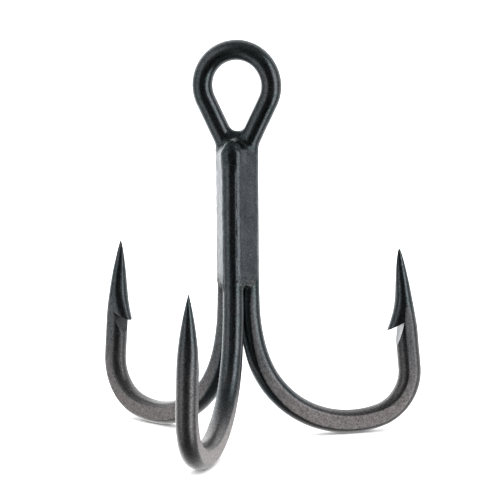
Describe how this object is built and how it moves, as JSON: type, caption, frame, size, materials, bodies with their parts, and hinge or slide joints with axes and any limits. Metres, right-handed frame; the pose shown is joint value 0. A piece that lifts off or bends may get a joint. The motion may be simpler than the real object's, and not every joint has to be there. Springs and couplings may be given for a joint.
{
  "type": "treble hook",
  "caption": "Brazed treble fishing hook with a teardrop line eye, a straight shank and barbed spear points spaced evenly round it.",
  "frame": {"origin": "centre of the line eye's round part, in the eye's plane", "axes": "+Z along the shank from the bends to the eye, +Y through the eye, so the eye lies in the XZ plane; the single hook opens towards -Y and the double hook's two hooks at 30 and 150 degrees round Z from +X"},
  "size_m": [0.0396, 0.0346, 0.047],
  "materials": {
    "plated_wire": "satin black-nickel plating on forged and tempered high-carbon steel wire",
    "plated_braze": "satin black-nickel plating over brazing brass, finely mottled"
  },
  "bodies": {
    "root": {"double_hook": "plated_wire", "single_hook": "plated_wire", "braze_fillet": "plated_braze"}
  },
  "joints": []
}
